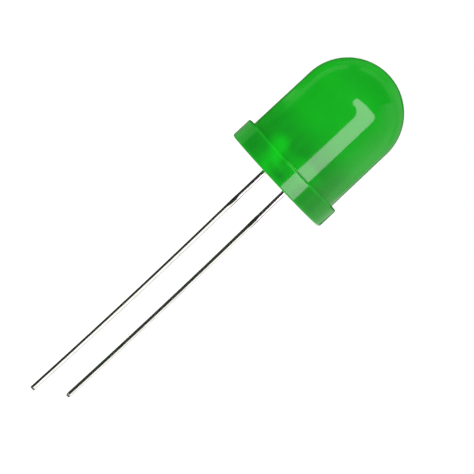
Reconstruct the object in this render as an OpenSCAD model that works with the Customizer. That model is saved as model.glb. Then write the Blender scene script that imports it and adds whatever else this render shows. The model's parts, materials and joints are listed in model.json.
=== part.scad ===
// Through-hole light-emitting diode with a round ten millimetre diffused lens.
// The lens is one epoxy casting. Two stamped leads run up into it, and the first
// carries the chip in a cup on its head. The second is the post that the bond
// wire lands on. Everything inside is sealed in the epoxy.
//
// The origin is the centre of the seating face, +Z points along the lens's axis
// to its dome, and the leads hang down -Z with both centres on the X axis.

/* [Lens] */
// Diameter of the round body
lens_d = 10; // [8:0.1:13]
// Height of the straight wall between the rim and the dome
wall_h = 6.8; // [5.4:0.1:9]
// How far the rim stands out of the body, all round
rim_w = 0.6; // [0.4:0.05:1]
// Thickness of the rim
rim_h = 2; // [1:0.1:3]
// Radius on the two outer edges of the rim
rim_edge_r = 0.15; // [0.05:0.05:0.4]
// Radius of the fillet where the body meets the rim
rim_root_r = 0.12; // [0.05:0.01:0.2]

/* [Leads] */
// Side of the square lead, which is also the thickness of the stamped sheet
lead_w = 0.45; // [0.35:0.05:0.6]
// Radius on the long edges of the lead
lead_edge_r = 0.15; // [0.02:0.01:0.17]
// Distance between the centres of the two leads
lead_pitch = 2.54; // [2:0.01:3.2]
// Length of the longer lead below the seating face
long_lead_l = 28.6; // [8:0.1:35]
// How much shorter the other lead is
lead_step = 1.8; // [0.5:0.1:3]

/* [Sheared stubs of the tie bar] */
// Depth of the stubs below the seating face
stub_drop = 3.4; // [1:0.1:5]
// Height of a stub along the lead
stub_h = 1.25; // [0.5:0.05:2]
// How far a stub stands out of each side of the lead
stub_proud = 0.04; // [0.02:0.01:0.2]

/* [Lead frame inside the lens] */
// Height where the leads widen inside the lens
foot_z = 2.4; // [1.5:0.1:2.6]
// Height of the cup's mouth
mouth_z = 6; // [5.6:0.1:7.4]
// How far the post's landing stands above the cup's mouth
landing_rise = 0.1; // [-0.3:0.05:0.4]
// Width that each lead gains on its outer side
ear_w = 0.3; // [0.1:0.05:0.6]
// Width that the post gains on its inner side, low down
flag_w = 0.4; // [0.1:0.05:0.5]
// How far the post's flag ends below the anvil's neck
flag_drop = 1.2; // [1:0.05:1.4]
// How far the anvil's ear starts to narrow below its neck
ear_drop = 0.7; // [0.4:0.05:0.9]
// How far the anvil's slanting edge stops inside the head's outline
undercut = 0.2; // [0.1:0.05:0.4]
// Height of the round head that holds the cup
head_h = 0.65; // [0.5:0.05:0.8]
// Wall of the head around the cup's mouth
head_wall = 0.2; // [0.1:0.01:0.3]
// Depth of the cup
cup_depth = 0.35; // [0.3:0.01:0.4]
// How far the cup's wall leans out from its floor to its mouth
cup_flare = 0.25; // [0.1:0.01:0.3]

/* [Chip and wire] */
// Side of the square chip
die_w = 0.3; // [0.2:0.01:0.36]
// Thickness of the chip
die_h = 0.2; // [0.1:0.01:0.25]
// Thickness of the adhesive under the chip
glue_h = 0.02; // [0.01:0.005:0.04]
// How far the adhesive spreads past each side of the chip
glue_spread = 0.03; // [0.01:0.01:0.05]
// Clearance between the adhesive's corners and the cup's wall
glue_gap = 0.045; // [0.01:0.005:0.08]
// Diameter of the bond wire
wire_d = 0.03; // [0.02:0.005:0.05]
// Diameter of the ball at the chip and of the wedge at the post
bond_d = 0.09; // [0.06:0.01:0.12]
// Thickness of the ball and of the wedge
bond_h = 0.02; // [0.01:0.005:0.04]

/* [Hidden] */
$fn = 96;

lens_r = lens_d / 2;
rim_r = lens_r + rim_w;
dome_z = rim_h + wall_h;

lead_x = lead_pitch / 2;
half_w = lead_w / 2;
short_lead_l = long_lead_l - lead_step;

// The chip's adhesive sets the cup's floor, and the floor sets the mouth and the head.
glue_w = die_w + 2 * glue_spread;
floor_r = glue_w / sqrt(2) + glue_gap;
mouth_r = floor_r + cup_flare;
head_r = mouth_r + head_wall;
neck_z = mouth_z - head_h;

landing_z = mouth_z + landing_rise;
cup_floor_z = mouth_z - cup_depth;
die_z = cup_floor_z + glue_h;
die_top_z = die_z + die_h;

// The wire leaves the ball upright and comes down in one round loop on the middle
// of the post's landing, which is as wide as the lead and its ear.
wedge_x = lead_x + ear_w / 2;
ball_z = die_top_z + bond_h / 2;
wedge_rise = landing_z + bond_h / 2 - ball_z;
loop_r = (wedge_x * wedge_x + wedge_rise * wedge_rise) / (2 * wedge_x);
loop_end_a = atan2(wedge_rise, wedge_x - loop_r);

// A plate stamped from the sheet, whose outline is drawn in X and Z
module stamped(outline) {
    rotate([90, 0, 0])
        linear_extrude(height = lead_w, center = true)
            polygon(outline);
}

// A lead's section, with its four long edges rounded
module lead_section() {
    inner = lead_w - 2 * lead_edge_r;
    square([lead_w, inner], center = true);
    square([inner, lead_w], center = true);
    for (x = [-inner / 2, inner / 2], y = [-inner / 2, inner / 2])
        translate([x, y])
            circle(r = lead_edge_r);
}

// The part of a lead below the seating face, with the stubs that the tie bar left
module outer_lead(x, length) {
    translate([x, 0, -length])
        linear_extrude(height = length)
            lead_section();
    translate([x, 0, -stub_drop - stub_h / 2])
        cube([lead_w + 2 * stub_proud, lead_w, stub_h], center = true);
}

module anvil_lead() {
    x_in = -lead_x + half_w;
    x_out = -lead_x - half_w;
    color("silver")
        difference() {
            union() {
                outer_lead(-lead_x, long_lead_l);
                stamped([
                    [x_out, 0],
                    [x_in, 0],
                    [x_in, foot_z],
                    [head_r - undercut, neck_z],
                    [-head_r + undercut, neck_z],
                    [x_out - ear_w, neck_z - ear_drop],
                    [x_out - ear_w, foot_z + ear_w],
                    [x_out, foot_z]
                ]);
                translate([0, 0, neck_z])
                    cylinder(h = head_h, r = head_r);
            }
            cup();
        }
}

// The reflecting cup, as a cutter that runs on past the mouth at the same slope
module cup() {
    over = 0.1;
    mouth_slope = cup_flare / cup_depth;
    translate([0, 0, cup_floor_z])
        cylinder(h = cup_depth + over, r1 = floor_r, r2 = mouth_r + mouth_slope * over);
}

module post_lead() {
    x_in = lead_x - half_w;
    x_out = lead_x + half_w;
    flag_z = neck_z - flag_drop;
    color("silver")
        union() {
            outer_lead(lead_x, short_lead_l);
            stamped([
                [x_in, 0],
                [x_out, 0],
                [x_out, foot_z],
                [x_out + ear_w, foot_z + ear_w],
                [x_out + ear_w, landing_z],
                [x_in, landing_z],
                [x_in, flag_z + flag_w],
                [x_in - flag_w, flag_z],
                [x_in - flag_w, foot_z + flag_w],
                [x_in, foot_z]
            ]);
        }
}

module die_attach() {
    color("lightgrey")
        translate([0, 0, cup_floor_z + glue_h / 2])
            cube([glue_w, glue_w, glue_h], center = true);
}

module die() {
    color("olivedrab")
        translate([0, 0, die_z + die_h / 2])
            cube([die_w, die_w, die_h], center = true);
}

// The flattened end of the wire, standing on the chip or on the post
module bond(x, z) {
    translate([x, 0, z])
        cylinder(h = bond_h, d = bond_d);
}

module bond_wire() {
    color("gold")
        union() {
            bond(0, die_top_z);
            translate([loop_r, 0, ball_z])
                rotate([90, 0, 0])
                    rotate([0, 0, loop_end_a])
                        rotate_extrude(angle = 180 - loop_end_a)
                            translate([loop_r, 0])
                                circle(d = wire_d);
            bond(wedge_x, landing_z);
        }
}

// Half of the lens's outline, from the axis outwards, without anything inside it
module lens_outline() {
    square([lens_r, dome_z]);
    intersection() {
        translate([0, dome_z])
            circle(r = lens_r);
        translate([0, dome_z])
            square([lens_r, lens_r]);
    }
    square([rim_r - rim_edge_r, rim_h]);
    translate([0, rim_edge_r])
        square([rim_r, rim_h - 2 * rim_edge_r]);
    for (z = [rim_edge_r, rim_h - rim_edge_r])
        translate([rim_r - rim_edge_r, z])
            circle(r = rim_edge_r);
    difference() {
        translate([lens_r, rim_h])
            square(rim_root_r);
        translate([lens_r + rim_root_r, rim_h + rim_root_r])
            circle(r = rim_root_r);
    }
}

module lens() {
    color("limegreen")
        difference() {
            rotate_extrude()
                lens_outline();
            anvil_lead();
            post_lead();
            die_attach();
            die();
            bond_wire();
        }
}

lens();
anvil_lead();
post_lead();
die();
die_attach();
bond_wire();
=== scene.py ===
import json
import math

import bpy
from mathutils import Matrix, Vector


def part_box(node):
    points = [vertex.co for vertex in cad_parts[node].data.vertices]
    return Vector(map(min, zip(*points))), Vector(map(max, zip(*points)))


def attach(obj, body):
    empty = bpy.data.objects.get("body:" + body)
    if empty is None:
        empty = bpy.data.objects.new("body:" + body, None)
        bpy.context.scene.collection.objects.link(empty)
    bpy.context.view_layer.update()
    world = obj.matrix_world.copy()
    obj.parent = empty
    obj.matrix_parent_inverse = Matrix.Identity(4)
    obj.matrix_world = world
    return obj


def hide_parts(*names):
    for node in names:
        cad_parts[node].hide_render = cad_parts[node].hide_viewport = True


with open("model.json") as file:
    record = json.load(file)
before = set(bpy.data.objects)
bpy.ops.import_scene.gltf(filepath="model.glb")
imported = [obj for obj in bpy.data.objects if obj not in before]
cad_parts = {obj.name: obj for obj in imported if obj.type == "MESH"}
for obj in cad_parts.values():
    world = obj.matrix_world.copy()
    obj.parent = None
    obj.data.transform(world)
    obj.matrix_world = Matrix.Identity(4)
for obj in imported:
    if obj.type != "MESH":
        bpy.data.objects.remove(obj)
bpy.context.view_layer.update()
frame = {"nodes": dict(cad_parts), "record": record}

millimetre = 0.001
roundSides = 96  # of a drum or a ring in the studio
samePlace = 1e-7  # metres, corners closer than this are one
noiseSpan = {"From Min": 0.3, "From Max": 0.7}  # where most of a noise's values lie


def mm(metres):
    return metres / millimetre


# the CAD pieces and mounts that the looks are built around, in mm
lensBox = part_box("lens")
mounts = {m["name"]: m for m in frame["record"]["mounts"]}
bodyRadius = mounts["lens_body"]["dims"]["r_mm"]
leadAxis = mm(abs(mounts["long_lead_end"]["pos_m"][0]))
longTip = mm(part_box("anvil_lead")[0].z)
shortTip = mm(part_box("post_lead")[0].z)

# small helpers


def linearFromHex(code):
    channels = [int(code[i:i + 2], 16) / 255 for i in (1, 3, 5)]
    linear = [c / 12.92 if c <= 0.04045 else ((c + 0.055) / 1.055) ** 2.4 for c in channels]
    return (*linear, 1.0)


white = linearFromHex("#FFFFFF")


def addNode(tree, kind, settings=None, links=None):
    # settings are the node's own options, links are values or other nodes' sockets for its inputs
    node = tree.nodes.new(kind)
    for name, value in (settings or {}).items():
        setattr(node, name, value)
    for name, value in (links or {}).items():
        if isinstance(value, bpy.types.NodeSocket):
            tree.links.new(value, node.inputs[name])
        else:
            node.inputs[name].default_value = value
    return node


def emptyMaterial(name):
    material = bpy.data.materials.new(name)
    material.use_nodes = True
    material.node_tree.nodes.clear()
    return material


def startPiece(name):
    piece = bpy.context.object
    piece.name = name
    piece.data.name = name
    return piece


def deselectAll():
    if bpy.context.object and bpy.context.object.mode != "OBJECT":
        bpy.ops.object.mode_set(mode="OBJECT")
    bpy.ops.object.select_all(action="DESELECT")


# camera: a long lens, a little to the long lead's side and just above the seating face

cameraView = {
    "distance": 400,  # mm
    "azimuth": -9,  # degrees round from the front
    "elevation": 2.7,
    "lean": 43.1,  # angle of the lamp's axis above the view's lower edge
    "viewWidth": 42.25,  # mm seen across the view at the lamp
    "aimAcross": 1.28,  # mm from the axis to the view's centre
    "aimUp": -5.94,  # mm from the seating face to it
    "clip": (0.01, 20),  # metres
}


def makeCamera(v):
    azimuth, elevation = math.radians(v["azimuth"]), math.radians(v["elevation"])
    back = Vector((math.sin(azimuth) * math.cos(elevation),
                   -math.cos(azimuth) * math.cos(elevation),
                   math.sin(elevation)))
    right = Vector((math.cos(azimuth), math.sin(azimuth), 0))
    up = back.cross(right)
    roll = math.radians(90 - v["lean"])
    upRolled = up * math.cos(roll) - right * math.sin(roll)
    rightRolled = upRolled.cross(back)
    bpy.ops.object.camera_add()
    camera = bpy.context.object
    camera.name = "camera"
    aim = right * v["aimAcross"] + up * v["aimUp"]
    camera.location = (aim + back * v["distance"]) * millimetre
    turn = Matrix([[rightRolled[i], upRolled[i], back[i]] for i in range(3)])
    camera.rotation_euler = turn.to_euler()
    camera.data.lens = camera.data.sensor_width * v["distance"] / v["viewWidth"]
    camera.data.clip_start, camera.data.clip_end = v["clip"]
    bpy.context.scene.camera = camera


makeCamera(cameraView)
print("camera placed")

# lens: one epoxy casting, so it is one closed turned shape

lensShape = {
    "rimRadius": mm(lensBox[1].x),
    "rimHeight": 2.06,
    "edgeRadius": 0.13,
    "rootRadius": 0.1,
    "bodyRadius": bodyRadius,
    "draft": 0.045,  # wider at the rim, so that it leaves its mould
    "top": mm(lensBox[1].z),
    "steps": 192,
    "domeSteps": 48,
    "cornerSteps": 6,
    "weld": 0.001,  # mm, corners closer than this are one
    "crease": 30,  # degrees, a sharper edge stays sharp
}


def selectWhere(piece, test):
    # picks the corners whose place in mm passes the test, in edit mode
    bpy.ops.object.mode_set(mode="EDIT")
    bpy.ops.mesh.select_mode(type="VERT")
    bpy.ops.mesh.select_all(action="DESELECT")
    bpy.ops.object.mode_set(mode="OBJECT")
    for vertex in piece.data.vertices:
        vertex.select = test(*[mm(c) for c in vertex.co])
    bpy.ops.object.mode_set(mode="EDIT")


def arc(centre, radius, start, end, steps):
    # points of an arc in the X-Z plane, from start to end in degrees
    points = []
    for i in range(steps + 1):
        a = math.radians(start + (end - start) * i / steps)
        points.append((centre[0] + radius * math.cos(a), centre[1] + radius * math.sin(a)))
    return points


def holdFlats(points, reach=0.04):
    # an extra point just inside each end of a long flat keeps its shading flat
    held = [points[0]]
    for a, b in zip(points, points[1:]):
        share = reach / math.dist(a, b)
        if share < 1 / 6:
            held += [tuple(p + (q - p) * s for p, q in zip(a, b)) for s in (share, 1 - share)]
        held.append(b)
    return held


def traceOutline(name, points):
    # one corner pushed from point to point, in mm, and left in edit mode
    deselectAll()
    bpy.ops.mesh.primitive_plane_add(size=millimetre, location=(0, 0, 0))
    piece = startPiece(name)
    bpy.ops.object.mode_set(mode="EDIT")
    bpy.ops.mesh.select_all(action="SELECT")
    bpy.ops.mesh.merge(type="CENTER")
    bpy.ops.transform.translate(value=Vector(points[0]) * millimetre)
    for last, point in zip(points, points[1:]):
        bpy.ops.mesh.extrude_region_move(TRANSFORM_OT_translate={
            "value": (Vector(point) - Vector(last)) * millimetre})
    return piece


def makeLens(v):
    rim, body, edge, root = v["rimRadius"], v["bodyRadius"], v["edgeRadius"], v["rootRadius"]
    domeZ = v["top"] - body
    outline = [(0, 0)]
    outline += arc((rim - edge, edge), edge, -90, 0, v["cornerSteps"])
    outline += arc((rim - edge, v["rimHeight"] - edge), edge, 0, 90, v["cornerSteps"])
    outline += arc((body + v["draft"] + root, v["rimHeight"] + root), root, 270, 180,
                   v["cornerSteps"])
    outline += arc((0, domeZ), body, 0, 90, v["domeSteps"])
    lens = traceOutline("lensCasting", [(x, 0, z) for x, z in holdFlats(outline)])
    bpy.ops.mesh.select_all(action="SELECT")
    bpy.ops.mesh.spin(steps=v["steps"], angle=2 * math.pi, center=(0, 0, 0), axis=(0, 0, 1))
    bpy.ops.mesh.select_all(action="SELECT")
    bpy.ops.mesh.remove_doubles(threshold=v["weld"] * millimetre)
    bpy.ops.mesh.normals_make_consistent(inside=False)
    bpy.ops.object.mode_set(mode="OBJECT")
    bpy.ops.object.shade_smooth_by_angle(angle=math.radians(v["crease"]))
    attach(lens, "root")
    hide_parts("lens")
    return lens


lens = makeLens(lensShape)
print("lens cast:", len(lens.data.polygons), "faces")

# leads: the rounded bar outside, and inside the casting the stamped head it grows from

leadShape = {
    "width": 0.45,  # mm, of the square bar
    "edgeRadius": 0.15,
    "edgeSteps": 8,
    "rise": 0.02,  # how far the bar starts inside the casting
    "firstRings": (0.0, -0.5),
    "evenFrom": -1.6,  # from this height down the rings are evenly spaced
    "ringStep": 1.1,
    "ringReach": 0.001,  # corners this near to a ring's height belong to it
    "settleDepth": 4.5,  # below the seating face, where the bar has all of its twist
    "rootShare": (0.35, 0.77),  # of the root's shift: at the seating face, and added by there
    "stub": [  # height, share of the full bulge
        (-3.30, 0.0), (-3.42, 0.45), (-3.54, 0.92), (-3.64, 1.0), (-3.98, 1.0),
        (-4.20, 0.82), (-4.45, 0.4), (-4.68, 0.0)],
    "stubRoom": 0.3,  # above and below the stub without other rings
    "stubProud": 0.015,
    "stubShift": 0.012,
    "stubRound": 0.35,  # share of the way from the bar's section to a round one
    "stubTwist": 7,  # degrees, clockwise from above
    "crease": 35,
}

leadPlaces = [  # root, lean and bow in mm towards +X, twists in degrees anticlockwise from above
    {"name": "anvilLead", "node": "anvil_lead", "side": -1, "tip": longTip,
     "root": -0.11, "lean": 0.03, "bow": 0.155, "rootTwist": -3.4, "twist": 1.6,
     "end": [(0.22, 1.0), (0.1, 0.975), (0.03, 0.92), (0.0, 0.84)]},  # above the tip, share
    {"name": "postLead", "node": "post_lead", "side": 1, "tip": shortTip,
     "root": -0.02, "lean": 0.07, "bow": 0.12, "rootTwist": -3.2, "twist": -3.4,
     "end": [(0.34, 1.0), (0.2, 0.95), (0.09, 0.82), (0.02, 0.62), (0.0, 0.5)]},
]


def leadRings(v, place):
    # each ring's height, place along X and twist, and how wide and deep it is
    stubs = dict(v["stub"])
    ends = {place["tip"] + up: share for up, share in place["end"]}
    firstEnd = max(ends)
    heights = set(stubs) | set(ends) | set(v["firstRings"])
    z = v["evenFrom"]
    while z > firstEnd + v["ringStep"] / 2:
        if not min(stubs) - v["stubRoom"] < z < max(stubs) + v["stubRoom"]:
            heights.add(z)
        z -= v["ringStep"]
    rings = []
    for z in sorted(heights, reverse=True):
        t = z / place["tip"]
        settled = min(1, -z / v["settleDepth"])
        shift = place["root"] * min(1, v["rootShare"][0] + v["rootShare"][1] * settled)
        shift += place["lean"] * t + place["bow"] * 4 * t * (1 - t)
        bulge = stubs.get(z, 0)
        share = ends.get(z, 1)
        rings.append({
            "z": z, "bulge": bulge,
            "twist": place["rootTwist"] + (place["twist"] - place["rootTwist"]) * settled,
            "x": place["side"] * leadAxis + shift + v["stubShift"] * bulge,
            "wide": share * (1 + 2 * v["stubProud"] * bulge / v["width"]), "deep": share})
    return rings


def makeLead(v, place):
    deselectAll()
    x = place["side"] * leadAxis
    bpy.ops.mesh.primitive_plane_add(size=v["width"] * millimetre,
                                     location=(x * millimetre, 0, v["rise"] * millimetre),
                                     rotation=(0, 0, math.radians(place["rootTwist"])))
    lead = startPiece(place["name"])
    bpy.ops.object.transform_apply(location=True, rotation=True, scale=True)
    bpy.ops.object.mode_set(mode="EDIT")
    bpy.ops.mesh.select_all(action="SELECT")
    bpy.ops.mesh.bevel(offset=v["edgeRadius"] * millimetre, segments=v["edgeSteps"],
                       affect="VERTICES")
    last = {"z": v["rise"], "x": x, "wide": 1, "deep": 1, "twist": place["rootTwist"]}
    for ring in leadRings(v, place):
        step = Vector((ring["x"] - last["x"], 0, ring["z"] - last["z"]))
        bpy.ops.mesh.extrude_region_move(
            TRANSFORM_OT_translate={"value": step * millimetre})
        middle = Vector((ring["x"], 0, ring["z"])) * millimetre
        bpy.ops.transform.resize(center_override=middle, value=(
            ring["wide"] / last["wide"], ring["deep"] / last["deep"], 1))
        # without a window this turns clockwise
        bpy.ops.transform.rotate(value=math.radians(last["twist"] - ring["twist"]),
                                 orient_axis="Z", center_override=middle)
        last = ring
    bpy.ops.mesh.select_all(action="SELECT")
    bpy.ops.mesh.normals_make_consistent(inside=False)
    roundStubs(lead, v, place)
    bpy.ops.object.mode_set(mode="OBJECT")
    joinHead(lead, place)
    bpy.ops.object.shade_smooth_by_angle(angle=math.radians(v["crease"]))
    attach(lead, "root")
    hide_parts(place["node"])
    return lead


def roundStubs(lead, v, place):
    # the sheared stubs are rounder than the bar, and turned a little
    for ring in leadRings(v, place):
        if ring["bulge"]:
            selectWhere(lead, lambda x, y, z: abs(z - ring["z"]) < v["ringReach"])
            bpy.ops.transform.tosphere(value=v["stubRound"] * ring["bulge"])
            middle = Vector((ring["x"], 0, ring["z"])) * millimetre
            bpy.ops.transform.rotate(value=math.radians(v["stubTwist"] * ring["bulge"]),
                                     orient_axis="Z", center_override=middle)


def joinHead(lead, place):
    # the part that is cast in, from the CAD shape, closed where the bar takes over
    head = bpy.data.objects.new(place["name"] + "Head", frame["nodes"][place["node"]].data.copy())
    bpy.context.collection.objects.link(head)
    head.data.materials.clear()
    deselectAll()
    head.select_set(True)
    bpy.context.view_layer.objects.active = head
    bpy.ops.object.mode_set(mode="EDIT")
    bpy.ops.mesh.select_all(action="SELECT")
    bpy.ops.mesh.remove_doubles(threshold=samePlace)
    bpy.ops.mesh.bisect(plane_co=(0, 0, 0), plane_no=(0, 0, 1), clear_inner=True, use_fill=True)
    bpy.ops.mesh.select_all(action="SELECT")
    bpy.ops.mesh.normals_make_consistent(inside=False)
    bpy.ops.object.mode_set(mode="OBJECT")
    lead.select_set(True)
    bpy.context.view_layer.objects.active = lead
    bpy.ops.object.join()


leads = [makeLead(leadShape, place) for place in leadPlaces]
print("leads drawn:", [len(lead.data.polygons) for lead in leads], "faces")

# materials, each named for the real one

epoxyLook = {
    "deepGreen": "#128A1E",
    "brightGreen": "#12C81E",
    "paintedLowShade": 0.17,  # painted shade: share of the bright green low down, where the lead frame shades it
    "highLevel": 0.557,
    "shadeFrom": 3.4,  # mm, height where the shade is full
    "shadeTo": 6.7,
    "paintedSpots": [  # painted light and shade in the casting: middle and half size in mm, in X and Z
        {"at": (-0.6, 1.1), "half": (3.2, 2.3), "lean": 0, "soft": 0.7, "rise": 0.22},
        {"at": (-2.72, 2.45), "half": (1.2, 1.55), "lean": -14, "soft": 0.75, "rise": 0.68},
        {"at": (-2.3, 0.95), "half": (1.5, 1.25), "lean": 0, "soft": 0.8, "rise": 0.4},
        {"at": (-2.6, 0.5), "half": (0.5, 0.85), "lean": 0, "soft": 0.8, "rise": 0.16},
        {"at": (0.3, 2.55), "half": (2.5, 1.3), "lean": 0, "soft": 0.6, "rise": 0.3},
        {"at": (-1.5, 0.75), "half": (1.6, 0.5), "lean": 0, "soft": 0.7, "rise": -0.26},
        {"at": (-4.5, 0.95), "half": (0.8, 1.0), "lean": 0, "soft": 0.7, "rise": -0.08},
        {"at": (0.57, 2.07), "half": (1.05, 0.2), "lean": 0, "soft": 0.5, "rise": -0.5},
    ],
    "crownShade": 0.16, "crownFrom": 9.8, "crownTo": 12.4,  # painted shade: the top of the dome a little darker
    "paintedEdgeLight": 0.2,  # painted light on the rim's thin edges, where they pass more light
    "lowEdge": (0.1, 0.45), "ledge": (1.86, 2.0), "root": (2.04, 2.14),  # mm, where it changes
    "grazeFrom": 0.2, "grazeTo": 0.8, "paintedGrazeRise": 0.42,  # painted light: the casting lighter where it is seen askew
    "cloudSize": 2.5,  # mm
    "cloudRise": 0.05,
    "striaWidth": 0.35,  # mm, faint upright flow lines in the casting
    "striaStretch": 0.12,  # per mm, how fast they change upwards
    "striaRise": 0.05,
    "striaFrom": 3.6, "striaTo": 5.6, "striaHigh": 0.15,  # full below, and their share above
    "roughness": (0.08, 0.1),
    "waveSize": 1.6,
    "waveHeight": 0.0012,
    "ior": 1.53,
}


def placeInMm(tree):
    place = addNode(tree, "ShaderNodeTexCoord")
    return addNode(tree, "ShaderNodeMapping", links={
        "Vector": place.outputs["Object"], "Scale": (1 / millimetre,) * 3}).outputs[0]


def sumOf(tree, *parts):
    total = parts[0]
    for part in parts[1:]:
        total = addNode(tree, "ShaderNodeMath", {"operation": "ADD"},
                        {0: total, 1: part}).outputs[0]
    return total


def paintedLightSpot(tree, inMm, spot):
    # painted light for a positive rise, painted shade for a negative one: full in the middle of an
    # ellipse and nothing at its edge, and the same on the far side
    through = 1000  # mm, far more than the casting is deep
    onSpot = addNode(tree, "ShaderNodeMapping", {"vector_type": "TEXTURE"}, {
        "Vector": inMm,
        "Location": (spot["at"][0], 0, spot["at"][1]),
        "Rotation": (0, math.radians(spot["lean"]), 0),
        "Scale": (spot["half"][0], through, spot["half"][1])})
    away = addNode(tree, "ShaderNodeVectorMath", {"operation": "LENGTH"},
                   {0: onSpot.outputs[0]})
    return addNode(tree, "ShaderNodeMapRange", {"interpolation_type": "SMOOTHSTEP"}, {
        "Value": away.outputs["Value"], "From Min": 1 - spot["soft"], "From Max": 1.0,
        "To Min": spot["rise"], "To Max": 0.0}).outputs[0]


def castEpoxy(v):
    # diffused epoxy cast in a polished mould: deep green with a hard gloss, and painted light
    # and shade: from the lead frame inside, on the thin edges and the top, and where seen askew
    material = emptyMaterial("castEpoxy")
    tree = material.node_tree
    inMm = placeInMm(tree)
    z = addNode(tree, "ShaderNodeSeparateXYZ", links={"Vector": inMm}).outputs["Z"]
    # painted shade: darker low down, where the lead frame shades it
    height = addNode(tree, "ShaderNodeMapRange", {"interpolation_type": "SMOOTHSTEP"}, {
        "Value": z, "From Min": v["shadeFrom"], "From Max": v["shadeTo"],
        "To Min": v["paintedLowShade"], "To Max": v["highLevel"]}).outputs[0]
    # painted light and shade in the casting, from the lead frame inside and along the ledge
    paintedSpots = [paintedLightSpot(tree, inMm, spot) for spot in v["paintedSpots"]]
    # painted light in thin bands along the rim's lower edge and its ledge
    lowEdge = addNode(tree, "ShaderNodeMapRange", links={
        "Value": z, "From Min": v["lowEdge"][0], "From Max": v["lowEdge"][1],
        "To Min": v["paintedEdgeLight"], "To Max": 0.0}).outputs[0]
    ledge = addNode(tree, "ShaderNodeMapRange", links={
        "Value": z, "From Min": v["ledge"][0], "From Max": v["ledge"][1],
        "To Min": 0.0, "To Max": v["paintedEdgeLight"]}).outputs[0]
    aboveLedge = addNode(tree, "ShaderNodeMapRange", links={
        "Value": z, "From Min": v["root"][0], "From Max": v["root"][1],
        "To Min": 0.0, "To Max": -v["paintedEdgeLight"]}).outputs[0]
    cloud = addNode(tree, "ShaderNodeTexNoise", links={
        "Vector": inMm, "Scale": 1 / v["cloudSize"], "Detail": 2.0, "Roughness": 0.5})
    clouds = addNode(tree, "ShaderNodeMapRange", links={
        "Value": cloud.outputs[0], **noiseSpan,
        "To Min": -v["cloudRise"], "To Max": v["cloudRise"]}).outputs[0]
    upright = addNode(tree, "ShaderNodeMapping", links={
        "Vector": inMm, "Scale": (1 / v["striaWidth"], 1 / v["striaWidth"], v["striaStretch"])})
    stria = addNode(tree, "ShaderNodeTexNoise", links={
        "Vector": upright.outputs[0], "Scale": 0.5, "Detail": 1.0})
    striaLevel = addNode(tree, "ShaderNodeMapRange", links={
        "Value": stria.outputs[0], "From Min": 0.35, "From Max": 0.65,
        "To Min": -v["striaRise"], "To Max": v["striaRise"]})
    lowDown = addNode(tree, "ShaderNodeMapRange", {"interpolation_type": "SMOOTHSTEP"}, {
        "Value": z, "From Min": v["striaFrom"], "From Max": v["striaTo"],
        "To Min": 1.0, "To Max": v["striaHigh"]})
    striae = addNode(tree, "ShaderNodeMath", {"operation": "MULTIPLY"},
                     {0: striaLevel.outputs[0], 1: lowDown.outputs[0]}).outputs[0]
    # painted shade on the top of the dome
    paintedCrownShade = addNode(tree, "ShaderNodeMapRange", {"interpolation_type": "SMOOTHSTEP"}, {
        "Value": z, "From Min": v["crownFrom"], "From Max": v["crownTo"],
        "To Min": 0.0, "To Max": -v["crownShade"]}).outputs[0]
    # painted light where the casting is seen askew
    askew = addNode(tree, "ShaderNodeLayerWeight", links={"Blend": 0.5}).outputs["Facing"]
    paintedGrazeLight = addNode(tree, "ShaderNodeMapRange", {"interpolation_type": "SMOOTHSTEP"}, {
        "Value": askew, "From Min": v["grazeFrom"], "From Max": v["grazeTo"],
        "To Min": 0.0, "To Max": v["paintedGrazeRise"]}).outputs[0]
    level = sumOf(tree, height, *paintedSpots, lowEdge, ledge, aboveLedge, clouds, striae, paintedCrownShade, paintedGrazeLight)
    colour = addNode(tree, "ShaderNodeMix", {"data_type": "RGBA", "clamp_factor": False}, {
        "Factor": level,
        6: linearFromHex(v["deepGreen"]),
        7: linearFromHex(v["brightGreen"])})
    wave = addNode(tree, "ShaderNodeTexNoise", links={
        "Vector": inMm, "Scale": 1 / v["waveSize"], "Detail": 1.0})
    sheen = addNode(tree, "ShaderNodeMapRange", links={
        "Value": cloud.outputs[0], **noiseSpan,
        "To Min": v["roughness"][0], "To Max": v["roughness"][1]})
    bump = addNode(tree, "ShaderNodeBump", links={
        "Height": wave.outputs[0], "Distance": v["waveHeight"] * millimetre})
    shader = addNode(tree, "ShaderNodeBsdfPrincipled", links={
        "Base Color": colour.outputs[2],
        "Roughness": sheen.outputs[0],
        "IOR": v["ior"],
        "Normal": bump.outputs[0],
    })
    addNode(tree, "ShaderNodeOutputMaterial", links={"Surface": shader.outputs["BSDF"]})
    return material


tinLook = {
    "tin": "#E4E2DE", "dullTin": "#CFCDC8",
    "bareSteel": "#57544F",
    "roughness": (0.09, 0.13), "bareRoughness": 0.42,
    "drawWidth": 0.08, "drawLength": 2.5,  # mm, lines along the bar, wider than the real ones
    "lineHeight": 0.0001,
    "blotches": 1.4,  # per mm
    "lineShare": 0.5, "dullFrom": 0.55, "dullTo": 0.95,  # how both dull the plate
    "sideFrom": 0.55, "sideTo": 0.85,  # how far a face has to turn to count as the stub's side
    "stubFrom": -4.5, "stubTo": -3.45, "stubSoft": 0.08,
    "longCut": longTip + 0.17, "shortCut": shortTip + 0.2, "cutSoft": 0.1,
    "wander": 0.12,  # mm, the plate's edge isn't straight
}


def between(tree, value, low, high, soft):
    # 1 from low to high, with soft ends
    rise = addNode(tree, "ShaderNodeMapRange", {"interpolation_type": "SMOOTHSTEP"}, {
        "Value": value, "From Min": low - soft, "From Max": low + soft}).outputs[0]
    fall = addNode(tree, "ShaderNodeMapRange", {"interpolation_type": "SMOOTHSTEP"}, {
        "Value": value, "From Min": high - soft, "From Max": high + soft,
        "To Min": 1.0, "To Max": 0.0}).outputs[0]
    return addNode(tree, "ShaderNodeMath", {"operation": "MULTIPLY"},
                   {0: rise, 1: fall}).outputs[0]


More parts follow.
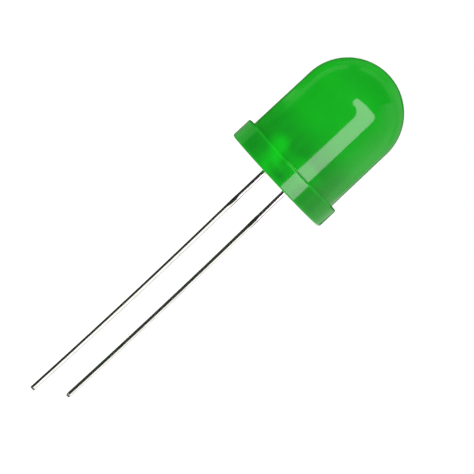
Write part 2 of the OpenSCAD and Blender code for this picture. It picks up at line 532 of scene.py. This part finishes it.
def tinnedSteel(v):
    # steel sheet stamped and then dipped in tin: mirror bright with faint lines along it,
    # and bare grey steel where the tie bar and the ends were sheared
    material = emptyMaterial("tinnedSteel")
    tree = material.node_tree
    inMm = placeInMm(tree)
    axes = addNode(tree, "ShaderNodeSeparateXYZ", links={"Vector": inMm})
    x, z = axes.outputs["X"], axes.outputs["Z"]
    along = addNode(tree, "ShaderNodeMapping", links={
        "Vector": inMm,
        "Scale": (1 / v["drawWidth"], 1 / v["drawWidth"], 1 / v["drawLength"])})
    lines = addNode(tree, "ShaderNodeTexNoise", links={
        "Vector": along.outputs[0], "Scale": 1.0, "Detail": 2.0, "Roughness": 0.55})
    blotch = addNode(tree, "ShaderNodeTexNoise", links={
        "Vector": inMm, "Scale": v["blotches"], "Detail": 3.0, "Roughness": 0.6})
    mottle = addNode(tree, "ShaderNodeMath", {"operation": "MULTIPLY_ADD"},
                     {0: lines.outputs[0], 1: v["lineShare"], 2: blotch.outputs[0]})
    dull = addNode(tree, "ShaderNodeMapRange", links={
        "Value": mottle.outputs[0],
        "From Min": v["dullFrom"], "From Max": v["dullTo"]}).outputs[0]
    facing = addNode(tree, "ShaderNodeTexCoord").outputs["Normal"]
    sideways = addNode(tree, "ShaderNodeMath", {"operation": "ABSOLUTE"}, {
        0: addNode(tree, "ShaderNodeSeparateXYZ", links={"Vector": facing}).outputs["X"]})
    onSide = addNode(tree, "ShaderNodeMapRange", links={
        "Value": sideways.outputs[0],
        "From Min": v["sideFrom"], "From Max": v["sideTo"]}).outputs[0]
    wander = addNode(tree, "ShaderNodeMath", {"operation": "MULTIPLY_ADD"},
                     {0: lines.outputs[0], 1: v["wander"], 2: z}).outputs[0]
    atStub = addNode(tree, "ShaderNodeMath", {"operation": "MULTIPLY"}, {
        0: between(tree, wander, v["stubFrom"], v["stubTo"], v["stubSoft"]),
        1: onSide}).outputs[0]
    isShort = addNode(tree, "ShaderNodeMath", {"operation": "GREATER_THAN"}, {0: x, 1: 0.0})
    cutHeight = addNode(tree, "ShaderNodeMapRange", links={
        "Value": isShort.outputs[0], "To Min": v["longCut"], "To Max": v["shortCut"]})
    belowCut = addNode(tree, "ShaderNodeMath", {"operation": "SUBTRACT"},
                       {0: cutHeight.outputs[0], 1: wander})
    atCut = addNode(tree, "ShaderNodeMapRange", {"interpolation_type": "SMOOTHSTEP"}, {
        "Value": belowCut.outputs[0], "From Min": -v["cutSoft"], "From Max": 0.0}).outputs[0]
    bare = addNode(tree, "ShaderNodeMath", {"operation": "MAXIMUM"},
                   {0: atStub, 1: atCut}).outputs[0]
    tin = addNode(tree, "ShaderNodeMix", {"data_type": "RGBA"}, {
        "Factor": dull, 6: linearFromHex(v["tin"]), 7: linearFromHex(v["dullTin"])})
    colour = addNode(tree, "ShaderNodeMix", {"data_type": "RGBA"}, {
        "Factor": bare, 6: tin.outputs[2], 7: linearFromHex(v["bareSteel"])})
    tinRoughness = addNode(tree, "ShaderNodeMapRange", links={
        "Value": dull, "To Min": v["roughness"][0], "To Max": v["roughness"][1]})
    roughness = addNode(tree, "ShaderNodeMapRange", links={
        "Value": bare, "To Min": tinRoughness.outputs[0], "To Max": v["bareRoughness"]})
    bump = addNode(tree, "ShaderNodeBump", links={
        "Height": lines.outputs[0], "Distance": v["lineHeight"] * millimetre})
    shader = addNode(tree, "ShaderNodeBsdfPrincipled", links={
        "Base Color": colour.outputs[2],
        "Metallic": 1.0,
        "Roughness": roughness.outputs[0],
        "Normal": bump.outputs[0],
    })
    addNode(tree, "ShaderNodeOutputMaterial", links={"Surface": shader.outputs["BSDF"]})
    return material


chipLook = {
    "chip": "#6B682F", "edge": "#3E3C1C",
    "pad": "#D2A24A",
    "padRadius": 0.055, "padSoft": 0.003,  # mm
    "top": mm(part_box("die")[1].z), "topFrom": 0.004, "topTo": 0.001,  # below it
    "sawPitch": 0.012, "sawDepth": 0.001, "sawAcross": 6,  # the last one per mm
    "sideRoughness": 0.5, "topRoughness": 0.16,
}


def sawnChip(v):
    # gallium phosphide, olive and a little clear: sawn sides, polished top, a gold pad
    material = emptyMaterial("galliumPhosphide")
    tree = material.node_tree
    inMm = placeInMm(tree)
    axes = addNode(tree, "ShaderNodeSeparateXYZ", links={"Vector": inMm})
    across = addNode(tree, "ShaderNodeCombineXYZ", links={
        "X": axes.outputs["X"], "Y": axes.outputs["Y"]})
    away = addNode(tree, "ShaderNodeVectorMath", {"operation": "LENGTH"}, {0: across.outputs[0]})
    inPad = addNode(tree, "ShaderNodeMapRange", links={
        "Value": away.outputs["Value"], "From Min": v["padRadius"] - v["padSoft"],
        "From Max": v["padRadius"] + v["padSoft"], "To Min": 1.0, "To Max": 0.0})
    onTop = addNode(tree, "ShaderNodeMapRange", links={
        "Value": axes.outputs["Z"],
        "From Min": v["top"] - v["topFrom"], "From Max": v["top"] - v["topTo"]})
    pad = addNode(tree, "ShaderNodeMath", {"operation": "MULTIPLY"},
                  {0: inPad.outputs[0], 1: onTop.outputs[0]}).outputs[0]
    layers = addNode(tree, "ShaderNodeMapping", links={
        "Vector": inMm, "Scale": (v["sawAcross"], v["sawAcross"], 1 / v["sawPitch"])})
    saw = addNode(tree, "ShaderNodeTexNoise", links={
        "Vector": layers.outputs[0], "Scale": 1.0, "Detail": 2.0})
    body = addNode(tree, "ShaderNodeMix", {"data_type": "RGBA"}, {
        "Factor": saw.outputs[0], 6: linearFromHex(v["chip"]), 7: linearFromHex(v["edge"])})
    colour = addNode(tree, "ShaderNodeMix", {"data_type": "RGBA"}, {
        "Factor": pad, 6: body.outputs[2], 7: linearFromHex(v["pad"])})
    roughness = addNode(tree, "ShaderNodeMapRange", links={
        "Value": onTop.outputs[0],
        "To Min": v["sideRoughness"], "To Max": v["topRoughness"]})
    bump = addNode(tree, "ShaderNodeBump", links={
        "Height": saw.outputs[0], "Distance": v["sawDepth"] * millimetre})
    shader = addNode(tree, "ShaderNodeBsdfPrincipled", links={
        "Base Color": colour.outputs[2],
        "Metallic": pad,
        "Roughness": roughness.outputs[0],
        "Normal": bump.outputs[0],
    })
    addNode(tree, "ShaderNodeOutputMaterial", links={"Surface": shader.outputs["BSDF"]})
    return material


adhesiveLook = {
    "resin": "#8E8C86", "flake": "#D5D3CE",
    "flakeSize": 0.012,  # mm
    "flakeFrom": 0.4, "flakeTo": 0.6, "resinMetal": 0.3,  # bright flakes, and dull ones
    "roughness": (0.3, 0.6),
}


def silverAdhesive(v):
    # epoxy filled with silver flake: grey, with small bright specks
    material = emptyMaterial("silverFilledEpoxy")
    tree = material.node_tree
    flakes = addNode(tree, "ShaderNodeTexVoronoi", {"feature": "F1"}, {
        "Vector": placeInMm(tree), "Scale": 1 / v["flakeSize"]})
    tone = addNode(tree, "ShaderNodeSeparateXYZ", links={"Vector": flakes.outputs["Color"]})
    colour = addNode(tree, "ShaderNodeMix", {"data_type": "RGBA"}, {
        "Factor": tone.outputs["X"], 6: linearFromHex(v["resin"]), 7: linearFromHex(v["flake"])})
    metal = addNode(tree, "ShaderNodeMapRange", links={
        "Value": tone.outputs["X"],
        "From Min": v["flakeFrom"], "From Max": v["flakeTo"], "To Min": v["resinMetal"]})
    roughness = addNode(tree, "ShaderNodeMapRange", links={
        "Value": tone.outputs["Y"],
        "To Min": v["roughness"][0], "To Max": v["roughness"][1]})
    shader = addNode(tree, "ShaderNodeBsdfPrincipled", links={
        "Base Color": colour.outputs[2],
        "Metallic": metal.outputs[0],
        "Roughness": roughness.outputs[0],
    })
    addNode(tree, "ShaderNodeOutputMaterial", links={"Surface": shader.outputs["BSDF"]})
    return material


wireLook = {
    "gold": "#E3B457", "deepGold": "#C8923A",
    "grain": 0.02,  # mm
    "roughness": (0.12, 0.24),
}


def drawnGold(v):
    # gold wire drawn through a die: bright and warm, with a fine grain
    material = emptyMaterial("drawnGold")
    tree = material.node_tree
    grain = addNode(tree, "ShaderNodeTexNoise", links={
        "Vector": placeInMm(tree), "Scale": 1 / v["grain"], "Detail": 2.0})
    colour = addNode(tree, "ShaderNodeMix", {"data_type": "RGBA"}, {
        "Factor": grain.outputs[0],
        6: linearFromHex(v["gold"]), 7: linearFromHex(v["deepGold"])})
    roughness = addNode(tree, "ShaderNodeMapRange", links={
        "Value": grain.outputs[0], **noiseSpan,
        "To Min": v["roughness"][0], "To Max": v["roughness"][1]})
    shader = addNode(tree, "ShaderNodeBsdfPrincipled", links={
        "Base Color": colour.outputs[2],
        "Metallic": 1.0,
        "Roughness": roughness.outputs[0],
    })
    addNode(tree, "ShaderNodeOutputMaterial", links={"Surface": shader.outputs["BSDF"]})
    return material


lens.data.materials.append(castEpoxy(epoxyLook))
tin = tinnedSteel(tinLook)
for lead in leads:
    lead.data.materials.clear()
    lead.data.materials.append(tin)
for node, material in (("die", sawnChip(chipLook)),
                       ("die_attach", silverAdhesive(adhesiveLook)),
                       ("bond_wire", drawnGold(wireLook))):
    frame["nodes"][node].material_slots[0].material = material
print("materials set")

# studio: an even white light for the colours, and cards that only the gloss shows

studio = {
    "worldLevel": 0.76,
    "floorSize": 6000,  # mm
    "floorTone": "#E7E7E7", "floorGlow": 0.5,
    "keyDistance": 300,
    "keySize": 260,
    "keyAzimuth": -18,
    "keyElevation": 24,
    "keyPower": 0.345,  # watts
    "surroundRadius": 180,
    "surroundFoot": -6,  # the half drums round the leads hang below it
    "surroundTop": 180,
    "surroundGlow": 0.04,
    "flagAzimuth": -82.5,  # the middle of the dark one
    "flagFoot": -90,
    "flagGlow": 0.04, "flagLight": "#CBFFD2",  # nearly black, a little green
    "farGlow": 1.08,  # of the pale one
}


def makeWorld(level):
    world = bpy.data.worlds.new("studioWorld")
    bpy.context.scene.world = world
    world.use_nodes = True
    tree = world.node_tree
    tree.nodes.clear()
    strength = addNode(tree, "ShaderNodeMapRange", links={
        "Value": seenDirectly(tree), "To Min": level, "To Max": 1.0})
    background = addNode(tree, "ShaderNodeBackground", links={
        "Color": white, "Strength": strength.outputs[0]})
    addNode(tree, "ShaderNodeOutputWorld", links={"Surface": background.outputs[0]})


def seenDirectly(tree):
    # 1 for what the camera, gloss or glass shows, 0 for the light that falls on things
    path = addNode(tree, "ShaderNodeLightPath")
    shiny = addNode(tree, "ShaderNodeMath", {"operation": "MAXIMUM"},
                    {0: path.outputs["Is Camera Ray"], 1: path.outputs["Is Glossy Ray"]})
    seen = addNode(tree, "ShaderNodeMath", {"operation": "MAXIMUM"},
                   {0: shiny.outputs[0], 1: path.outputs["Is Transmission Ray"]})
    return seen.outputs[0]


def makeFloor(v):
    deselectAll()
    bpy.ops.mesh.primitive_plane_add(size=v["floorSize"] * millimetre,
                                     location=(0, 0, longTip * millimetre))
    floor = startPiece("floor")
    material = emptyMaterial("paleFloor")
    tree = material.node_tree
    diffuse = addNode(tree, "ShaderNodeBsdfDiffuse",
                      links={"Color": linearFromHex(v["floorTone"])})
    strength = addNode(tree, "ShaderNodeMath", {"operation": "MULTIPLY"},
                       {0: seenDirectly(tree), 1: v["floorGlow"]})
    glow = addNode(tree, "ShaderNodeEmission", links={
        "Color": white, "Strength": strength.outputs[0]})
    both = addNode(tree, "ShaderNodeAddShader",
                   links={0: diffuse.outputs[0], 1: glow.outputs[0]})
    addNode(tree, "ShaderNodeOutputMaterial", links={"Surface": both.outputs[0]})
    floor.data.materials.append(material)
    floor.visible_glossy = False  # the bright metal mirrors the white room instead


def makeKeyLamp(v):
    azimuth, elevation = math.radians(v["keyAzimuth"]), math.radians(v["keyElevation"])
    towards = Vector((math.sin(azimuth) * math.cos(elevation),
                      -math.cos(azimuth) * math.cos(elevation),
                      math.sin(elevation)))
    bpy.ops.object.light_add(type="AREA", location=towards * v["keyDistance"] * millimetre)
    lamp = bpy.context.object
    lamp.name = "keyLamp"
    lamp.rotation_euler = towards.to_track_quat("Z", "Y").to_euler()
    lamp.data.size = v["keySize"] * millimetre
    lamp.data.energy = v["keyPower"]
    lamp.visible_glossy = False
    lamp.visible_camera = False


def glowing(name, level, light="#FFFFFF"):
    material = emptyMaterial(name)
    tree = material.node_tree
    glow = addNode(tree, "ShaderNodeEmission", links={
        "Color": linearFromHex(light), "Strength": level})
    addNode(tree, "ShaderNodeOutputMaterial", links={"Surface": glow.outputs[0]})
    return material


def hangCard(card, azimuth, distance, material):
    # the card was drawn flat, X to its right and Y up: stand it at its azimuth, for gloss alone
    a = math.radians(azimuth)
    card.location = Vector((math.sin(a), -math.cos(a), 0)) * distance * millimetre
    card.rotation_euler = (math.pi / 2, 0, a)
    forGlossOnly(card, material)


def forGlossOnly(card, material):
    card.data.materials.append(material)
    card.visible_camera = False
    card.visible_diffuse = False
    card.visible_transmission = False
    card.visible_volume_scatter = False
    card.visible_shadow = False


def drawCard(name, corners):
    # a flat card from its corners in mm
    card = traceOutline(name, [(x, y, 0) for x, y in corners + corners[:1]])
    bpy.ops.mesh.select_all(action="SELECT")
    bpy.ops.mesh.remove_doubles(threshold=samePlace)
    bpy.ops.mesh.edge_face_add()
    bpy.ops.object.mode_set(mode="OBJECT")
    return card


def rectangle(v, left, right):
    return [(v[left], v["foot"]), (v[right], v["foot"]), (v[right], v["top"]), (v[left], v["top"])]


windowCard = {  # places in mm, X to the card's right and Y up from the seating face
    "azimuth": 23,  # degrees round from the front
    "distance": 70,  # mm from the axis
    "foot": -3.1,
    "sill": 0.5, "sillLeft": -24.4,  # the lower pane is a little wider
    "left": -21.8, "right": 18.7, "rightSide": [(18.7, 14), (22.3, 38)],
    "topCorner": (11.5, 46.8), "outerRound": 12, "outerTurn": 75,  # middle, radius and degrees
    "head": [(-14, 62.8), (-40, 69.3)],
    "armEnd": [(-62, 75), (-66, 67), (-66, 58), (-63, 46), (-57, 44.5)],
    "armFoot": 40.5, "innerRound": 31,
    "glow": 4.4, "light": "#FFE6FF",
}


def makeWindowCard(v):
    # a tall window with an arm to the left at its head
    inner = v["innerRound"]
    corners = [(v["right"], v["foot"])] + v["rightSide"]
    corners += arc(v["topCorner"], v["outerRound"], 0, v["outerTurn"], 8)
    corners += v["head"] + v["armEnd"]
    corners += arc((v["left"] - inner, v["armFoot"] - inner), inner, 90, 0, 12)
    corners += [(v["left"], v["sill"]), (v["sillLeft"], v["sill"])]
    corners += [(v["sillLeft"], v["foot"])]
    card = drawCard("windowCard", corners)
    hangCard(card, v["azimuth"], v["distance"], glowing("windowGlow", v["glow"], v["light"]))


def levelAcross(tree, axes, profile):
    # a glow that changes in straight steps along the card
    across = None
    for (x, level), (nextX, nextLevel) in zip(profile, profile[1:]):
        step = addNode(tree, "ShaderNodeMapRange", links={
            "Value": axes.outputs["X"],
            "From Min": x * millimetre, "From Max": nextX * millimetre,
            "To Min": 0.0 if across else level,
            "To Max": nextLevel - level if across else nextLevel})
        across = step if across is None else addNode(
            tree, "ShaderNodeMath", {"operation": "ADD"},
            {0: across.outputs[0], 1: step.outputs[0]})
    return across


crownCard = {  # inside the hoop, for the top of the dome
    "azimuth": 171, "distance": 32,
    "left": -60, "right": 45, "foot": 30, "top": 70,
    "profile": [(-20, 0.28), (-9, 0.22), (-2, 0.1), (45, 0.1)],  # mm, glow
}


def makeCrownCard(v):
    card = drawCard("crownCard", rectangle(v, "left", "right"))
    material = emptyMaterial("crownGlow")
    tree = material.node_tree
    place = addNode(tree, "ShaderNodeTexCoord")
    axes = addNode(tree, "ShaderNodeSeparateXYZ", links={"Vector": place.outputs["Object"]})
    across = levelAcross(tree, axes, v["profile"])
    glow = addNode(tree, "ShaderNodeEmission", links={
        "Color": white, "Strength": across.outputs[0]})
    addNode(tree, "ShaderNodeOutputMaterial", links={"Surface": glow.outputs[0]})
    hangCard(card, v["azimuth"], v["distance"], material)


sideCard = {  # a broad soft one to the right
    "azimuth": 81, "distance": 60,
    "front": -50, "back": 180, "foot": -3.2, "top": 116,
    "profile": [(-50, 0.14), (-38, 0.23), (-19, 0.44), (-1, 0.56), (17, 0.62)],  # mm, glow
    "backFrom": 17, "backTo": 60,  # it is weaker from here on, but not at its foot
    "footTop": 0.2, "backTop": 2.2, "backDrop": 0.46,
    "fadeFrom": 9, "fadeTo": 41, "highShare": 0.75,
}


def makeSideCard(v):
    card = drawCard("sideCard", rectangle(v, "front", "back"))
    material = emptyMaterial("sideGlow")
    tree = material.node_tree
    place = addNode(tree, "ShaderNodeTexCoord")
    axes = addNode(tree, "ShaderNodeSeparateXYZ", links={"Vector": place.outputs["Object"]})
    across = levelAcross(tree, axes, v["profile"])
    behind = addNode(tree, "ShaderNodeMapRange", {"interpolation_type": "SMOOTHSTEP"}, {
        "Value": axes.outputs["X"],
        "From Min": v["backFrom"] * millimetre, "From Max": v["backTo"] * millimetre,
        "To Max": v["backDrop"]})
    aboveFoot = addNode(tree, "ShaderNodeMapRange", links={
        "Value": axes.outputs["Y"],
        "From Min": v["footTop"] * millimetre, "From Max": v["backTop"] * millimetre})
    drop = addNode(tree, "ShaderNodeMath", {"operation": "MULTIPLY"},
                   {0: behind.outputs[0], 1: aboveFoot.outputs[0]})
    kept = addNode(tree, "ShaderNodeMath", {"operation": "SUBTRACT"},
                   {0: 1.0, 1: drop.outputs[0]})
    upwards = addNode(tree, "ShaderNodeMapRange", {"interpolation_type": "SMOOTHSTEP"}, {
        "Value": axes.outputs["Y"],
        "From Min": v["fadeFrom"] * millimetre, "From Max": v["fadeTo"] * millimetre,
        "To Min": 1.0, "To Max": v["highShare"]})
    level = addNode(tree, "ShaderNodeMath", {"operation": "MULTIPLY"},
                    {0: across.outputs[0], 1: upwards.outputs[0]})
    level = addNode(tree, "ShaderNodeMath", {"operation": "MULTIPLY"},
                    {0: level.outputs[0], 1: kept.outputs[0]})
    glow = addNode(tree, "ShaderNodeEmission", links={
        "Color": white, "Strength": level.outputs[0]})
    addNode(tree, "ShaderNodeOutputMaterial", links={"Surface": glow.outputs[0]})
    hangCard(card, v["azimuth"], v["distance"], material)


hoopCard = {  # places in mm, turns in degrees
    "azimuth": 171, "distance": 30, "height": 9.1,
    "inner": 60, "outer": 138, "foot": 5.02, "footTilt": 1.2, "rightTurn": 30,
    "glow": 0.26,
    "gapFrom": 43, "gapTo": 59, "gapSoft": 3, "gapShare": 0.15,  # degrees where it is weaker
}


def hoopGlow(v):
    # weaker over one stretch of its turn
    material = emptyMaterial("hoopGlow")
    tree = material.node_tree
    place = addNode(tree, "ShaderNodeTexCoord")
    axes = addNode(tree, "ShaderNodeSeparateXYZ", links={"Vector": place.outputs["Object"]})
    rise = addNode(tree, "ShaderNodeMath", {"operation": "SUBTRACT"},
                   {0: axes.outputs["Y"], 1: v["height"] * millimetre})
    turn = addNode(tree, "ShaderNodeMath", {"operation": "ARCTAN2"},
                   {0: rise.outputs[0], 1: axes.outputs["X"]})
    middle, half = (v["gapFrom"] + v["gapTo"]) / 2, (v["gapTo"] - v["gapFrom"]) / 2
    fromMiddle = addNode(tree, "ShaderNodeMath", {"operation": "SUBTRACT"},
                         {0: turn.outputs[0], 1: math.radians(middle)})
    away = addNode(tree, "ShaderNodeMath", {"operation": "ABSOLUTE"}, {0: fromMiddle.outputs[0]})
    level = addNode(tree, "ShaderNodeMapRange", {"interpolation_type": "SMOOTHSTEP"}, {
        "Value": away.outputs[0],
        "From Min": math.radians(half - v["gapSoft"]),
        "From Max": math.radians(half + v["gapSoft"]),
        "To Min": v["glow"] * v["gapShare"], "To Max": v["glow"]})
    glow = addNode(tree, "ShaderNodeEmission", links={
        "Color": white, "Strength": level.outputs[0]})
    addNode(tree, "ShaderNodeOutputMaterial", links={"Surface": glow.outputs[0]})
    return material


def makeHoopCard(v):
    # half a ring behind the lamp, from low on the left over its top
    deselectAll()
    bpy.ops.mesh.primitive_circle_add(vertices=roundSides, radius=v["inner"] * millimetre)
    card = startPiece("hoopCard")
    bpy.ops.object.mode_set(mode="EDIT")
    bpy.ops.mesh.select_all(action="SELECT")
    bpy.ops.mesh.extrude_region_move()
    grow = v["outer"] / v["inner"]
    bpy.ops.transform.resize(value=(grow, grow, 1))
    bpy.ops.mesh.select_all(action="SELECT")
    tilt = math.radians(v["footTilt"])
    footStart = Vector((v["inner"], v["foot"] - v["height"], 0)) * millimetre
    bpy.ops.mesh.bisect(plane_co=footStart, clear_inner=True,
                        plane_no=(math.sin(tilt), math.cos(tilt), 0))
    right = math.radians(v["rightTurn"])
    bpy.ops.mesh.select_all(action="SELECT")
    bpy.ops.mesh.bisect(plane_co=(0, 0, 0), clear_inner=True,
                        plane_no=(math.cos(right), math.sin(right), 0))
    bpy.ops.mesh.select_all(action="SELECT")
    bpy.ops.transform.translate(value=(0, v["height"] * millimetre, 0))
    bpy.ops.object.mode_set(mode="OBJECT")
    hangCard(card, v["azimuth"], v["distance"], hoopGlow(v))


leadCard = {  # a pane below the window, for the leads
    "azimuth": 23, "distance": 70,
    "left": -22, "right": 19, "foot": -50, "top": -3.1,
    "glow": 1.55,
}

heelCard = {  # joins the hoop's foot
    "azimuth": 171, "distance": 30,
    "left": 26, "right": 60, "foot": 4.92, "top": 6.5,
    "glow": 0.24,
}

lowCard = {  # on the left, low down, for the rim
    "azimuth": -99, "distance": 12,
    "left": -60, "right": 1.76, "foot": -0.45, "top": 1.85,
    "glow": 0.26,
}

highCard = {  # for the ledge and the front of the dome's left
    "azimuth": -99, "distance": 40,
    "left": -2, "right": 60, "foot": 20, "top": 80,
    "glow": 0.06,
}

shoulderCard = {  # below the crown card's bright end
    "azimuth": 171, "distance": 32,
    "left": -60, "right": -22, "foot": 20, "top": 30,
    "glow": 0.3,
}


def makePlainCard(name, v):
    card = drawCard(name, rectangle(v, "left", "right"))
    hangCard(card, v["azimuth"], v["distance"], glowing(name + "Glow", v["glow"]))


def makeSurround(v):
    # a dim drum round the lens, closed at its top and open below
    radius, foot, top = v["surroundRadius"], v["surroundFoot"], v["surroundTop"]
    material = glowing("surroundGlow", v["surroundGlow"])
    deselectAll()
    bpy.ops.mesh.primitive_cylinder_add(
        vertices=roundSides, radius=radius * millimetre, depth=(top - foot) * millimetre,
        end_fill_type="NOTHING", location=(0, 0, (top + foot) / 2 * millimetre))
    drum = startPiece("surround")
    selectWhere(drum, lambda x, y, z: z > 0)
    bpy.ops.mesh.edge_face_add()
    bpy.ops.object.mode_set(mode="OBJECT")
    forGlossOnly(drum, material)


def makeHalfDrum(name, v, azimuth, material):
    # one half of a drum round the leads: there is a dark one and a pale one
    deselectAll()
    foot, top = v["flagFoot"], v["surroundFoot"]
    bpy.ops.mesh.primitive_cylinder_add(
        vertices=roundSides, radius=v["surroundRadius"] * millimetre,
        depth=(top - foot) * millimetre, end_fill_type="NOTHING")
    half = startPiece(name)
    bpy.ops.object.mode_set(mode="EDIT")
    bpy.ops.mesh.select_all(action="SELECT")
    a = math.radians(azimuth)
    bpy.ops.mesh.bisect(plane_co=(0, 0, 0), clear_inner=True,
                        plane_no=(math.sin(a), -math.cos(a), 0))
    bpy.ops.object.mode_set(mode="OBJECT")
    half.location.z = (top + foot) / 2 * millimetre
    forGlossOnly(half, material)


makeWorld(studio["worldLevel"])
makeFloor(studio)
makeKeyLamp(studio)
makeWindowCard(windowCard)
makeSideCard(sideCard)
makeHoopCard(hoopCard)
makeCrownCard(crownCard)
for name, card in (("leadCard", leadCard), ("heelCard", heelCard), ("lowCard", lowCard),
                   ("highCard", highCard), ("shoulderCard", shoulderCard)):
    makePlainCard(name, card)
makeSurround(studio)
makeHalfDrum("leadFlag", studio, studio["flagAzimuth"],
             glowing("flagGlow", studio["flagGlow"], studio["flagLight"]))
makeHalfDrum("farWall", studio, studio["flagAzimuth"] + 180,
             glowing("farGlow", studio["farGlow"]))
bpy.context.scene.view_settings.view_transform = "Standard"
print("studio ready")
